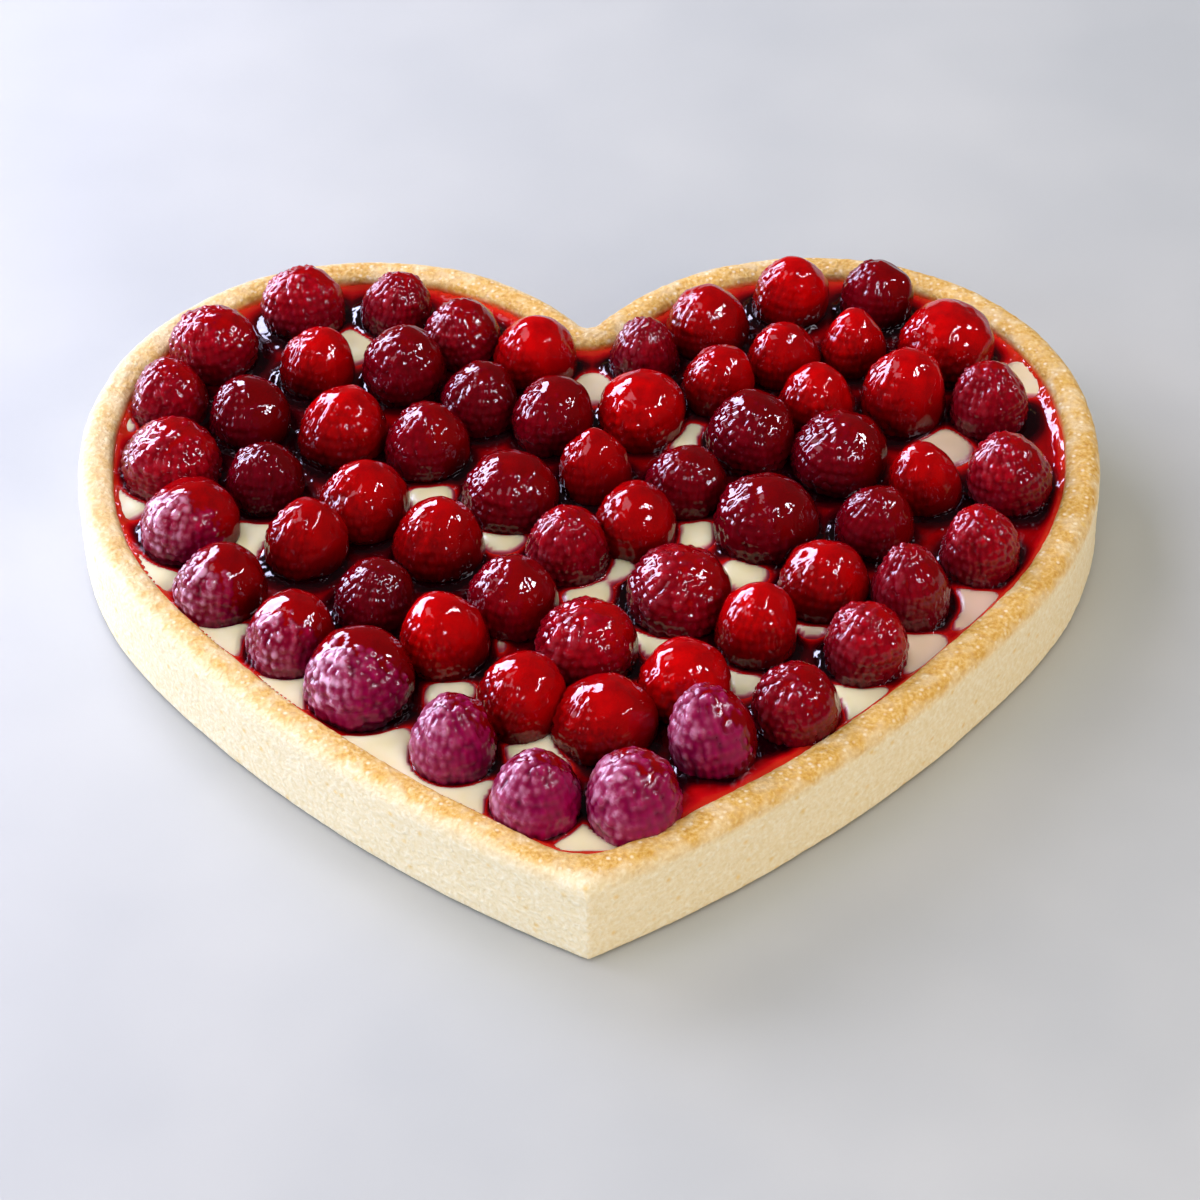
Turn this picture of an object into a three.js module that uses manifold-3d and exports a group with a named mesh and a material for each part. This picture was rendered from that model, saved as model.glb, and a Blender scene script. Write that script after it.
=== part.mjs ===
// Heart-shaped berry tart: a shortcrust case filled with pastry cream, and raspberries bedded in the
// cream in rows that follow the heart. Millimetres, +Z up, tip of the heart towards -Y. The origin is
// under the middle of the heart's length and width, on the surface that the case stands on.
import * as THREE from 'three';
import { mergeVertices } from 'three/addons/utils/BufferGeometryUtils.js';
import Module from 'manifold-3d';

const wasm = await Module();
wasm.setup();

// Outline of the case, right half, four arcs from the tip round to the notch
const TIP_HALF_ANGLE = THREE.MathUtils.degToRad(62);
const FLANK_RADIUS = 295;
const FLANK_LENGTH = 129;
const SHOULDER_RADIUS = 89;
const SHOULDER_LENGTH = 74;
const LOBE_RADIUS = 63;
const NOTCH_RADIUS = 2;
const FINE = 4;

// Shortcrust case
const CASE_HEIGHT = 22.5;
const WALL = 8;
const FLOOR = 4;
const BASE_BEVEL = 0.6;
const RIM_OUTER_ROUND = 3;
const RIM_INNER_ROUND = 2;
const RIM_DIP = 0.3;
const RIM_UNEVENNESS = 0.35;
const RIM_WAVES = [[7, 0.6], [13, 2.1], [23, 4.2]];
const TIP_ROUND_OUTSIDE = 1;
const TIP_ROUND_INSIDE = 12;

// Pastry cream
const CREAM_LEVEL = 19;
const NUB_COUNT = 22;
const NUB_SIDES = 6;
const NUB_HEIGHT = 1.8;
const NUB_SPACING = 9;
const NUB_OVERHANG = 2;
const NUB_ROOT = 1;
const NUB_SHOULDER = 0.7;
const NUB_FROM_WALL = 4;
const SEARCH_HALF = [104, 94];
const SEARCH_STEP = 2;
const HOLLOW_SIDES = 8;
const HOLLOW_FOOT = 0.9;

// Berries
const BED = 13.5;
const PIECE_GAP = 0.3;
const BERRY_SIDES = 12;
const BERRY_LEAN = 1.6;
const BERRY_UNEVENNESS = 0.04;
const ROW_TIP_ROUND = 0.5;
const MOST_PIECES = 60;
const JOIN_DEPTH = 1.8;
const BERRY_SEED = 7;
// Nearest that a berry's middle comes to the wall, as a share of its width
const NEAREST_TO_WALL = 0.42;
const SHRINK_STEP = 0.01;

// Width as a share of the full width, and height as a share of the full height, from the open end up
const BERRY_PROFILE = [[0.7, 0], [0.92, 0.18], [1, 0.42], [0.86, 0.68], [0.5, 0.9]];

// Each berry of a half row, from the tip of the heart to the notch: its step along the row from the
// berry before it, how far it sits outside the row, its width, and the height of its crown
const BERRY_ROWS = [
  {
    inset: 20.5,
    left: [
      [10, 4, 21, 33], [23, 1, 20, 34], [26, 0, 24, 33], [23, 1, 20, 32], [22, 3, 19, 31],
      [21, 0, 22, 31], [24, 0, 24, 32], [21, 3, 19, 31], [20, 3, 20, 32], [21, 4, 20, 32],
      [19, 2, 18, 31], [21, -1, 18, 32], [18, 6, 19, 32],
    ],
    right: [
      [9, 3, 21, 34], [23, 2, 19, 36], [20, 3, 19, 33], [22, 0, 18, 33], [21, -2, 19, 35],
      [20, 2, 18, 33], [24, 2, 20, 33], [25, -2, 19, 33], [25, -1, 21, 32], [22, 5, 17, 31],
      [19, 6, 18, 32], [20, 0, 19, 31], [18, 4, 18, 31],
    ],
  },
  {
    inset: 41.5,
    left: [
      [16, 3, 19, 32], [23, -1, 20, 34], [20, 2, 19, 31], [24, 3, 19, 32], [22, 1, 18, 31],
      [23, 4, 19, 31], [18, 3, 17, 31], [20, 1, 18, 33], [21, 4, 19, 31], [21, 6, 18, 32],
    ],
    right: [
      [3, 3, 22, 30], [20, 3, 19, 31], [21, 2, 19, 33], [20, 1, 20, 31], [23, -2, 18, 32],
      [17, 4, 17, 32], [27, -1, 19, 34], [19, 7, 16, 31], [13, 4, 17, 31], [17, 6, 17, 31],
      [22, 8, 20, 31],
    ],
  },
  {
    inset: 61.5,
    left: [
      [21, 0, 20, 33], [23, 0, 20, 32], [21, 4, 20, 32], [24, 3, 21, 32], [21, 5, 19, 32],
      [25, 0, 22, 31],
    ],
    right: [
      [0, 3, 22, 32], [24, 0, 24, 32], [30, 0, 23, 32], [26, 1, 21, 32], [13, 7, 18, 31],
      [16, 9, 20, 32], [22, 1, 20, 31],
    ],
  },
];

// The berries in the middle, inside the last row: across, along, width and height of the crown
const MIDDLE_BERRIES = [[-4, -1, 20, 32], [11, 7, 17, 31], [2, 24, 17, 32]];

const CRUST = new THREE.MeshStandardMaterial({ color: 0xe8cf98, roughness: 0.85, metalness: 0 });
const CREAM = new THREE.MeshStandardMaterial({ color: 0xf3ead0, roughness: 0.45, metalness: 0 });
const BERRY = new THREE.MeshStandardMaterial({ color: 0xa3102a, roughness: 0.3, metalness: 0 });

// Repeatable draws between 0 and 1
function seededDraw(seed) {
  let state = seed;
  return () => {
    state = (state * 1664525 + 1013904223) % 4294967296;
    return state / 4294967296;
  };
}

function polar(centre, radius, angle) {
  return new THREE.Vector2(
    centre.x + radius * Math.cos(angle),
    centre.y + radius * Math.sin(angle),
  );
}

// The arcs of the right half, all moved inwards by inset, with the corner at the tip rounded
function heartArcs(inset, tipRound) {
  const flankStart = -TIP_HALF_ANGLE;
  const flankEnd = flankStart + FLANK_LENGTH / FLANK_RADIUS;
  const shoulderEnd = flankEnd + SHOULDER_LENGTH / SHOULDER_RADIUS;
  const flank = polar({ x: 0, y: 0 }, -FLANK_RADIUS, flankStart);
  const shoulder = polar(flank, FLANK_RADIUS - SHOULDER_RADIUS, flankEnd);
  const lobe = polar(shoulder, SHOULDER_RADIUS - LOBE_RADIUS, shoulderEnd);
  const notch = { x: 0, y: lobe.y + Math.sqrt((LOBE_RADIUS + NOTCH_RADIUS) ** 2 - lobe.x ** 2) };
  const lobeEnd = Math.atan2(notch.y - lobe.y, -lobe.x);
  const tipReach = FLANK_RADIUS - inset - tipRound;
  const tip = { x: 0, y: flank.y - Math.sqrt(tipReach ** 2 - flank.x ** 2) };
  const tipEnd = Math.atan2(tip.y - flank.y, -flank.x);
  return [
    { centre: tip, radius: tipRound, from: -Math.PI / 2, to: tipEnd, steps: 3 },
    { centre: flank, radius: FLANK_RADIUS - inset, from: tipEnd, to: flankEnd, steps: 12 },
    { centre: shoulder, radius: SHOULDER_RADIUS - inset, from: flankEnd, to: shoulderEnd, steps: 7 },
    { centre: lobe, radius: LOBE_RADIUS - inset, from: shoulderEnd, to: lobeEnd, steps: 15 },
    { centre: notch, radius: NOTCH_RADIUS + inset, from: lobeEnd - Math.PI, to: -Math.PI / 2, steps: 4 },
  ];
}

// Points of the right half from the tip to the notch, finer times as many as the least
function rightHalf(inset, tipRound, finer = 1) {
  const points = [];
  for (const arc of heartArcs(inset, tipRound)) {
    const steps = arc.steps * finer;
    for (let i = points.length === 0 ? 0 : 1; i <= steps; i += 1) {
      points.push(polar(arc.centre, arc.radius, arc.from + (arc.to - arc.from) * (i / steps)));
    }
  }
  return points;
}

// The middle of the outline's length goes to y = 0
const outerEdge = rightHalf(0, TIP_ROUND_OUTSIDE, FINE).map((point) => point.y);
const MIDDLE_Y = (Math.max(...outerEdge) + Math.min(...outerEdge)) / 2;

// An outline with each point moved outwards by its own distance
function movedOutwards(outline, distanceAt) {
  return outline.map((point, i) => {
    const before = outline[(i + outline.length - 1) % outline.length];
    const after = outline[(i + 1) % outline.length];
    const along = after.clone().sub(before).normalize();
    const distance = distanceAt(point, i);
    return new THREE.Vector2(point.x + along.y * distance, point.y - along.x * distance);
  });
}

// Whole outline, counter-clockwise from the tip, this far inside the case's outer face
function heartOutline(inset, tipRound) {
  const right = rightHalf(inset, tipRound);
  const left = right.slice(1, -1).reverse();
  return [
    ...right.map((point) => new THREE.Vector2(point.x, point.y - MIDDLE_Y)),
    ...left.map((point) => new THREE.Vector2(-point.x, point.y - MIDDLE_Y)),
  ];
}

function tipRoundAt(inset) {
  return THREE.MathUtils.lerp(TIP_ROUND_OUTSIDE, TIP_ROUND_INSIDE, inset / WALL);
}

// A closed body through rings of points, one above the other in the list, with a flat cap at each end
function bodyThroughRings(rings) {
  const count = rings[0].length;
  const positions = rings.flatMap((ring) => ring.flatMap((point) => [point.x, point.y, point.z]));
  const index = [];
  for (let row = 0; row + 1 < rings.length; row += 1) {
    for (let i = 0; i < count; i += 1) {
      const here = row * count + i;
      const next = row * count + ((i + 1) % count);
      index.push(here, next, here + count, next, next + count, here + count);
    }
  }
  const flat = (ring) => ring.map((point) => new THREE.Vector2(point.x, point.y));
  const last = (rings.length - 1) * count;
  for (const [a, b, c] of THREE.ShapeUtils.triangulateShape(flat(rings[0]), [])) {
    index.push(c, b, a);
  }
  for (const [a, b, c] of THREE.ShapeUtils.triangulateShape(flat(rings.at(-1)), [])) {
    index.push(last + a, last + b, last + c);
  }
  const geometry = new THREE.BufferGeometry();
  geometry.setAttribute('position', new THREE.Float32BufferAttribute(positions, 3));
  geometry.setIndex(index);
  return geometry;
}

const MERGE_DISTANCE = 1e-4;

function toSolid(geometry) {
  const bare = geometry.clone();
  bare.deleteAttribute('normal');
  bare.deleteAttribute('uv');
  const merged = mergeVertices(bare, MERGE_DISTANCE);
  return new wasm.Manifold(new wasm.Mesh({
    numProp: 3,
    vertProperties: new Float32Array(merged.attributes.position.array),
    triVerts: new Uint32Array(merged.index.array),
  }));
}

function toGeometry(solid) {
  const mesh = solid.getMesh();
  const geometry = new THREE.BufferGeometry();
  geometry.setAttribute('position', new THREE.BufferAttribute(mesh.vertProperties, 3));
  geometry.setIndex(new THREE.BufferAttribute(mesh.triVerts, 1));
  return geometry;
}

// Hand-pressed rim: the wall's top edge wanders a little in and out along the outline
function rimWander(share) {
  const turn = 2 * Math.PI * share;
  const waves = RIM_WAVES.map(([count, start]) => Math.sin(count * turn + start));
  return RIM_UNEVENNESS * waves.reduce((sum, wave) => sum + wave) / waves.length;
}

function makeCase() {
  const outerArc = RIM_OUTER_ROUND * (1 - Math.SQRT1_2);
  const innerArc = RIM_INNER_ROUND * (1 - Math.SQRT1_2);
  const crownInside = CASE_HEIGHT - RIM_DIP;
  // Inset, height and share of the rim's wander, from the base up the outside and down the inside
  const profile = [
    [BASE_BEVEL, 0, 0],
    [0, BASE_BEVEL, 0],
    [0, CASE_HEIGHT - RIM_OUTER_ROUND, 0],
    [outerArc, CASE_HEIGHT - outerArc, 0.5],
    [RIM_OUTER_ROUND, CASE_HEIGHT, 1],
    [WALL - RIM_INNER_ROUND, crownInside, 1],
    [WALL - innerArc, crownInside - innerArc, 1],
    [WALL, crownInside - RIM_INNER_ROUND, 0.6],
    [WALL, CREAM_LEVEL + PIECE_GAP, 0],
    [WALL, FLOOR, 0],
  ];
  const rings = profile.map(([inset, height, wander]) => {
    const ring = heartOutline(inset, tipRoundAt(inset));
    const shiftAt = (i) => rimWander(i / ring.length) * wander;
    return movedOutwards(ring, (point, i) => -shiftAt(i)).map((point, i) => {
      const z = height + shiftAt(i) / 2;
      return new THREE.Vector3(point.x, point.y, z);
    });
  });
  return bodyThroughRings(rings);
}

// Point at a distance along the right half of a row, moved outwards from it
function placeInRow(row, along, outwards, side) {
  let rest = along;
  for (let i = 0; i + 1 < row.length; i += 1) {
    const step = row[i + 1].clone().sub(row[i]);
    if (rest <= step.length() || i + 2 === row.length) {
      const direction = step.clone().normalize();
      const x = row[i].x + direction.x * rest + direction.y * outwards;
      const y = row[i].y + direction.y * rest - direction.x * outwards;
      return { x: side * x, y: y - MIDDLE_Y };
    }
    rest -= step.length();
  }
  return null;
}

function layBerries() {
  const berries = [];
  const draw = seededDraw(BERRY_SEED);
  const lay = (place, width, crown) => {
    const lean = BERRY_LEAN * draw();
    const heading = 2 * Math.PI * draw();
    berries.push({
      x: place.x,
      y: place.y,
      radius: width / 2,
      crown,
      leanX: lean * Math.cos(heading),
      leanY: lean * Math.sin(heading),
      turn: 2 * Math.PI * draw(),
      bumps: BERRY_PROFILE.map(() => Array.from({ length: BERRY_SIDES }, () => 2 * draw() - 1)),
    });
  };
  for (const { inset, left, right } of BERRY_ROWS) {
    const row = rightHalf(inset, ROW_TIP_ROUND, FINE);
    for (const [half, side] of [[left, -1], [right, 1]]) {
      let along = 0;
      for (const [step, outside, width, crown] of half) {
        along += step;
        const mostOutside = inset - WALL - NEAREST_TO_WALL * width;
        lay(placeInRow(row, along, Math.min(outside, mostOutside), side), width, crown);
      }
    }
  }
  for (const [x, y, width, crown] of MIDDLE_BERRIES) {
    lay({ x, y }, width, crown);
  }
  return berries;
}

// How far two berries' round forms reach into each other
function pressing(a, b) {
  return a.radius + b.radius - Math.hypot(a.x - b.x, a.y - b.y);
}

// Two berries moved together until they reach this far into each other
function pressTogether(a, b, depth) {
  const shift = (depth - pressing(a, b)) / 2 / Math.hypot(a.x - b.x, a.y - b.y);
  const [acrossX, acrossY] = [b.x - a.x, b.y - a.y];
  a.x += acrossX * shift;
  a.y += acrossY * shift;
  b.x -= acrossX * shift;
  b.y -= acrossY * shift;
}

// Berries pressed hardest together are one piece, for as many as are over the most pieces
function joinHardestPressed(berries, joinsNeeded) {
  const pairs = [];
  berries.forEach((a, i) => {
    berries.slice(i + 1).forEach((b) => pairs.push({ a, b, depth: pressing(a, b) }));
  });
  pairs.sort((p, q) => q.depth - p.depth);
  for (const { a, b } of pairs) {
    if (joinsNeeded > 0 && !a.partner && !b.partner) {
      a.partner = b;
      b.partner = a;
      pressTogether(a, b, JOIN_DEPTH);
      joinsNeeded -= 1;
    }
  }
}

function isInside(point, outline) {
  let inside = false;
  for (let i = 0, j = outline.length - 1; i < outline.length; j = i, i += 1) {
    const a = outline[i];
    const b = outline[j];
    const crosses = (a.y > point.y) !== (b.y > point.y);
    if (crosses && point.x < (b.x - a.x) * (point.y - a.y) / (b.y - a.y) + a.x) {
      inside = !inside;
    }
  }
  return inside;
}

const berryRoom = heartOutline(WALL + PIECE_GAP + RIM_UNEVENNESS, TIP_ROUND_INSIDE);

// Share of the way from a berry's middle to a point that stays clear of the berries pressed against
// it and of the wall
function freeShare(berry, berries, offset) {
  let share = 1;
  for (const other of berries) {
    if (other === berry || other === berry.partner) {
      continue;
    }
    const toOther = new THREE.Vector2(other.x - berry.x, other.y - berry.y);
    const distance = toOther.length();
    const meeting = (distance ** 2 + berry.radius ** 2 - other.radius ** 2) / (2 * distance);
    const reach = offset.dot(toOther) / distance;
    if (reach > meeting - PIECE_GAP / 2) {
      share = Math.min(share, (meeting - PIECE_GAP / 2) / reach);
    }
  }
  const at = (part) => ({ x: berry.x + offset.x * part, y: berry.y + offset.y * part });
  while (share > 0 && !isInside(at(share), berryRoom)) {
    share -= SHRINK_STEP;
  }
  return share;
}

// A berry: domed, widest low down, lumpy, its crown leaning a little
function makeBerry(berry, berries) {
  const height = berry.crown - BED;
  const leanAt = (z) => Math.max(0, z - CREAM_LEVEL) / (berry.crown - CREAM_LEVEL);
  const rings = BERRY_PROFILE.map(([widthShare, heightShare], row) => {
    const z = BED + height * heightShare;
    return Array.from({ length: BERRY_SIDES }, (_, i) => {
      const angle = berry.turn + 2 * Math.PI * (i + row / 2) / BERRY_SIDES;
      const lump = 1 + BERRY_UNEVENNESS * berry.bumps[row][i];
      const offset = polar({ x: 0, y: 0 }, berry.radius * widthShare * lump, angle);
      offset.x += berry.leanX * leanAt(z);
      offset.y += berry.leanY * leanAt(z);
      offset.multiplyScalar(freeShare(berry, berries, offset));
      return new THREE.Vector3(berry.x + offset.x, berry.y + offset.y, z);
    });
  });
  const positions = rings.flat().flatMap((point) => [point.x, point.y, point.z]);
  const under = rings.length * BERRY_SIDES;
  positions.push(berry.x, berry.y, BED);
  positions.push(berry.x + berry.leanX, berry.y + berry.leanY, berry.crown);
  const index = [];
  for (let i = 0; i < BERRY_SIDES; i += 1) {
    const next = (i + 1) % BERRY_SIDES;
    for (let row = 0; row + 1 < rings.length; row += 1) {
      const low = row * BERRY_SIDES;
      const high = low + BERRY_SIDES;
      index.push(low + i, low + next, high + i, low + next, high + next, high + i);
    }
    const top = (rings.length - 1) * BERRY_SIDES;
    index.push(under, next, i, top + i, top + next, under + 1);
  }
  const geometry = new THREE.BufferGeometry();
  geometry.setAttribute('position', new THREE.Float32BufferAttribute(positions, 3));
  geometry.setIndex(index);
  return geometry;
}

// A round body on an upright axis through a place
function turned(profile, sides, place) {
  const points = profile.map(([radius, z]) => new THREE.Vector2(radius, z));
  const geometry = new THREE.LatheGeometry(points, sides);
  geometry.rotateX(Math.PI / 2);
  geometry.translate(place.x, place.y, 0);
  return toSolid(geometry);
}

// Hollow that a berry presses in the cream, with flat sides, just wider than the berry
function berryHollow(berry) {
  const outOfRound = 1 / Math.cos(Math.PI / HOLLOW_SIDES);
  const low = (HOLLOW_FOOT * berry.radius + PIECE_GAP) * outOfRound;
  const high = ((1 + BERRY_UNEVENNESS) * berry.radius + PIECE_GAP) * outOfRound;
  const floor = BED - PIECE_GAP;
  const sides = [[0, floor], [low, floor], [high, CASE_HEIGHT], [0, CASE_HEIGHT]];
  return turned(sides, HOLLOW_SIDES, berry);
}

// The roomiest places between the berries, where the cream wells up
function roomiestPlaces(berries) {
  const room = heartOutline(WALL + NUB_FROM_WALL, TIP_ROUND_INSIDE);
  const [halfWidth, halfLength] = SEARCH_HALF;
  const candidates = [];
  for (let x = -halfWidth; x <= halfWidth; x += SEARCH_STEP) {
    for (let y = -halfLength; y <= halfLength; y += SEARCH_STEP) {
      const clear = Math.min(...berries.map((b) => Math.hypot(b.x - x, b.y - y) - b.radius));
      if (clear > 0 && isInside({ x, y }, room)) {
        candidates.push({ x, y, clear });
      }
    }
  }
  candidates.sort((a, b) => b.clear - a.clear);
  const chosen = [];
  for (const place of candidates) {
    const isFree = chosen.every((c) => Math.hypot(c.x - place.x, c.y - place.y) > NUB_SPACING);
    if (isFree && chosen.length < NUB_COUNT) {
      chosen.push(place);
    }
  }
  return chosen;
}

function prism(outline, low, high) {
  const ringAt = (z) => outline.map((point) => new THREE.Vector3(point.x, point.y, z));
  return toSolid(bodyThroughRings([ringAt(low), ringAt(high)]));
}

// Cream up to its level, welling up between the berries, with the hollows that they press in it
function makeCream(berries) {
  const inset = WALL + PIECE_GAP;
  let cream = prism(heartOutline(inset, tipRoundAt(inset)), FLOOR + PIECE_GAP, CREAM_LEVEL);
  const nubFoot = CREAM_LEVEL - NUB_ROOT;
  const aboveCream = prism(berryRoom, nubFoot, CASE_HEIGHT);
  for (const place of roomiestPlaces(berries)) {
    const width = place.clear + NUB_OVERHANG;
    const nub = turned([
      [0, nubFoot],
      [width, nubFoot],
      [NUB_SHOULDER * width, CREAM_LEVEL + NUB_SHOULDER * NUB_HEIGHT],
      [0, CREAM_LEVEL + NUB_HEIGHT],
    ], NUB_SIDES, place);
    cream = cream.add(nub.intersect(aboveCream));
  }
  for (const berry of berries) {
    cream = cream.subtract(berryHollow(berry));
  }
  return toGeometry(cream);
}

function named(name, geometry, material) {
  const flat = geometry.index ? geometry.toNonIndexed() : geometry;
  flat.computeVertexNormals();
  const mesh = new THREE.Mesh(flat, material.clone());
  mesh.name = name;
  return mesh;
}

const tart = new THREE.Group();
const berries = layBerries();
joinHardestPressed(berries, berries.length + 2 - MOST_PIECES);

tart.add(named('pastry_case', makeCase(), CRUST));
tart.add(named('pastry_cream', makeCream(berries), CREAM));

let singles = 0;
let pairs = 0;
for (const berry of berries) {
  if (!berry.partner) {
    singles += 1;
    const name = `berry_${String(singles).padStart(2, '0')}`;
    tart.add(named(name, makeBerry(berry, berries), BERRY));
  } else if (berries.indexOf(berry) < berries.indexOf(berry.partner)) {
    pairs += 1;
    const both = [berry, berry.partner].map((one) => toSolid(makeBerry(one, berries)));
    tart.add(named(`berry_pair_${pairs}`, toGeometry(both[0].add(both[1])), BERRY));
  }
}

export default tart;
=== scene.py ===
# Looks of a heart-shaped raspberry tart: a baked shortcrust case, pastry cream, red berry glaze
# brushed over the fruit, and the raspberries themselves. Metres, +Z up, tip of the heart towards -Y.
import math
import random
from contextlib import contextmanager

import bmesh
import bpy
import numpy as np
from mathutils import Matrix, Quaternion, Vector


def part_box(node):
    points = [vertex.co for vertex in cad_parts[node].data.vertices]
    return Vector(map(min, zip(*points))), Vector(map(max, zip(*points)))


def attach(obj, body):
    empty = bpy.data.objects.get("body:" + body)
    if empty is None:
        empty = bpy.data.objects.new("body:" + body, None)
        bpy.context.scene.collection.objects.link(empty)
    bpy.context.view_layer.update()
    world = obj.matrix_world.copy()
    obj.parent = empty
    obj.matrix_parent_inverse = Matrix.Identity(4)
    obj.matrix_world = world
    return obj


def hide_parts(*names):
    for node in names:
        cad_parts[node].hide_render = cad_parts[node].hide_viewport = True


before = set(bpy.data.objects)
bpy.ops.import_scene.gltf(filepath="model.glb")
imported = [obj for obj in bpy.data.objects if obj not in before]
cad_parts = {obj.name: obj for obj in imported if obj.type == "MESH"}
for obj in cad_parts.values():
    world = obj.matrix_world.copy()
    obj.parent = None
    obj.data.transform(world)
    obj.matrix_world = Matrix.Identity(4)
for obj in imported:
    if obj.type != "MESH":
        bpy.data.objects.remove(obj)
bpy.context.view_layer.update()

MM = 0.001

# Camera: where it stands, what it looks at, how far it is rolled, and its lens on a 36 mm sensor
CAMERA_PLACE = Vector((9.89, -646.42, 611.67)) * MM
CAMERA_AIM = Vector((2.44, -2.27, 7.52)) * MM
CAMERA_ROLL = math.radians(-1.008)
CAMERA_LENS = 120
SENSOR_WIDTH = 36

# Shortcrust case, in millimetres: heights at which the wall's mesh is cut finer, and how strong and
# how large its swell and its crumb are
WALL_CUTS = (3.5, 7, 10.5, 14, 17.5)
CRUST_SWELL = 0.5
CRUST_SWELL_SIZE = 13
CRUST_CRUMB = 0.42
CRUST_CRUMB_SIZE = 1.6
# Swell and crumb fade out at the foot, so that the case stands flat
CRUMB_HEIGHTS = (0.2, 1.5)
# The upright edge at the tip is rounded off, in full within the first distance of it
TIP_ROUNDING = (2, 6)
TIP_HEIGHTS = (0.5, 3)
TIP_ROUNDS = 14
# The golden band lies between these heights and runs from the inner edge outwards, in full to the
# first width and not at all past the second
TOASTED_HEIGHTS = (18.2, 20.4)
TOASTED_WIDTHS = (4.2, 9)
# It widens from the left to the right, and is weakest at the far left
TOASTED_MORE_RIGHT = 1.8
WIDENS_BETWEEN = (-30, 40)
TOASTED_LEFT = 0.6
LEFT_END = (-112, -62)
# The foot of the wall is a little browner, on the right
TOASTED_FOOT = 0.8
FOOT_HEIGHTS = (1.4, 0.2)
FOOT_BETWEEN = (-30, 30)
# Glaze stained the inner edge: heights and widths between which the stain fades in
STAINED_HEIGHTS = (21.4, 20.0)
STAINED_WIDTHS = (1.5, 0.5)

# Pastry cream and glaze, in millimetres
LATTICE_STEP = 0.9
LATTICE_MARGIN = 2
FILLING_LOW = 14.0
# Cream and glaze reach this far past the cream's solid, so that no slit shows along the wall
INTO_WALL = 0.7
CREAM_HOLLOW = 15.5
CREAM_VALLEY = 16.8
CREAM_MOUND = 19.5
CREAM_WAVE = 0.3
# Between which distances from a berry's widest ring the cream sinks under it
CREAM_SINKS = (0.3, -2.0)
# Glaze stains the cream: how far above the glaze it begins, and where it is full
CREAM_STAINED = (0.8, -0.15)
# Between which shares of its radius a mound fades out
MOUND_EDGE = (1.65, 0.75)
# Where the cream wells up between the berries: across, along, radius, and how pink juice stains it
CREAM_MOUNDS = (
    (-19, 7, 5, 0), (23, 7, 5, 0), (34, -6, 5, 0), (0, -12, 5, 0), (6, -4, 4, 0), (15, -26, 6, 0),
    (-23, -27, 5, 0), (-29, -43, 5, 0), (-9, -58, 8, 0), (0, -88, 7, 0), (-65, -40, 8, 0),
    (-45, -59, 8, 0), (-35, -67, 8, 0), (-25, -75, 8, 0), (-97, -4, 7, 0), (-80, -25, 7, 0),
    (-74, 7, 6, 0), (-35, 20, 5, 0), (1, 57, 5, 0.1), (23, 39, 5, 0), (101, 59, 6, 0.1),
    (80, 35, 6, 0.15), (57, -46, 7, 0), (32, -39, 5, 0.05), (70, -31, 7, 0.16), (83, -18, 7, 0.2),
    (-56, 73, 6, 0), (-104, 19, 6, 0), (-108, 48, 6, 0), (48, -22, 4, 0.15), (10, -44, 4, 0.05),
)
GLAZE_LEVEL = 18.3
GLAZE_CLIMB = 0.7
GLAZE_CLIMB_WIDTH = 0.6
WALL_CLIMB = 2.3
WALL_CLIMB_WIDTH = 1.1
GLAZE_MOST = 20.1
# Where the glaze stands higher or lower than elsewhere: across, along, radius and change of level,
# which is full within a share of the radius
POOL_CORE = 0.35
GLAZE_POOLS = (
    (38, -69, 24, 1.4),
    (22, -77, 14, 1.2),
    (0, -96, 9, 1.6),
    (-50, -60, 34, -0.6),
    (-85, -15, 30, -0.4),
)
# How deep glaze has to stand to look nearly black, its painted shade in the open and how much more
# is painted by a berry, where shade falls, how near a berry that reaches, and between which distances
# from the wall the painted shade fades out, for the glaze there is a thin film on the wall and is painted
# lit
GLAZE_DARK_DEPTH = 2.0
OPEN_SHADE = 0.35
MORE_BY_BERRY = 0.85
BERRY_SHADE = 4.5
UNSHADED_BY_WALL = (0.3, 3.5)
# Pools painted as lit, open to the light: how much of the painted shade they lose, in full within a
# share of their radius, and where they lie, as across, along and radius
LIT_POOL_SHARE = 0.85
LIT_POOL_CORE = 0.5
LIT_POOLS = ((25, -78, 11), (38, -70, 10), (48, -60, 8), (0, -96, 12), (-3, 84, 12))

# A raspberry as it lies, open end down, before it is fitted to its place; millimetres and shares
BERRY_RADIUS = 10
BERRY_HEIGHT = 18.5
WAIST = 0.42
OPEN_END = 0.7
PROFILE_STEPS = 400
DRUPELET_WIDTH = 1.95
DRUPELET_LENGTH = 2.5
DRUPELET_DEPTH = 1.1
# The rows' distances along the side, the first row's from the crown, in drupelet lengths
FIRST_ROW = 0.32
ROW_STEP = 0.87
LOWEST_ROW = 0.16
# Drupelets overlap by these shares and differ in size, turn, depth and height
DRUPELET_OVERLAP = (1.12, 1.1)
DRUPELET_SIZES = (0.86, 1.16)
DRUPELET_TURN = 0.16
DRUPELET_SINK = (0.9, 1.05)
DRUPELET_RISE = 0.3
# Rows narrower than this start anywhere, and the wider ones are staggered
CROWN_RADIUS = 4
CREASE_DEPTH = 0.75
BERRY_SHAPES = 3
BERRY_SWELL = 1.8
BERRY_SWELL_SIZE = 9
BERRY_TAPER = (-0.26, 0.04)
# The berries' skins stand a little proud of the flat-sided solids, which press none of them
BERRY_PLUMPNESS = 1.03
BERRY_TILT = math.radians(11)
# The glaze sits towards the far right of a berry, so that its near left side shows drupelets
COAT_HEADING = math.radians(50)
COAT_HEADING_SPREAD = 0.5
COAT_RAISE = 0.3
# How far a drupelet stands out of the glaze when it is bare, and when it is covered
COVERED_BETWEEN = (0.3, 0.05)
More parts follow.
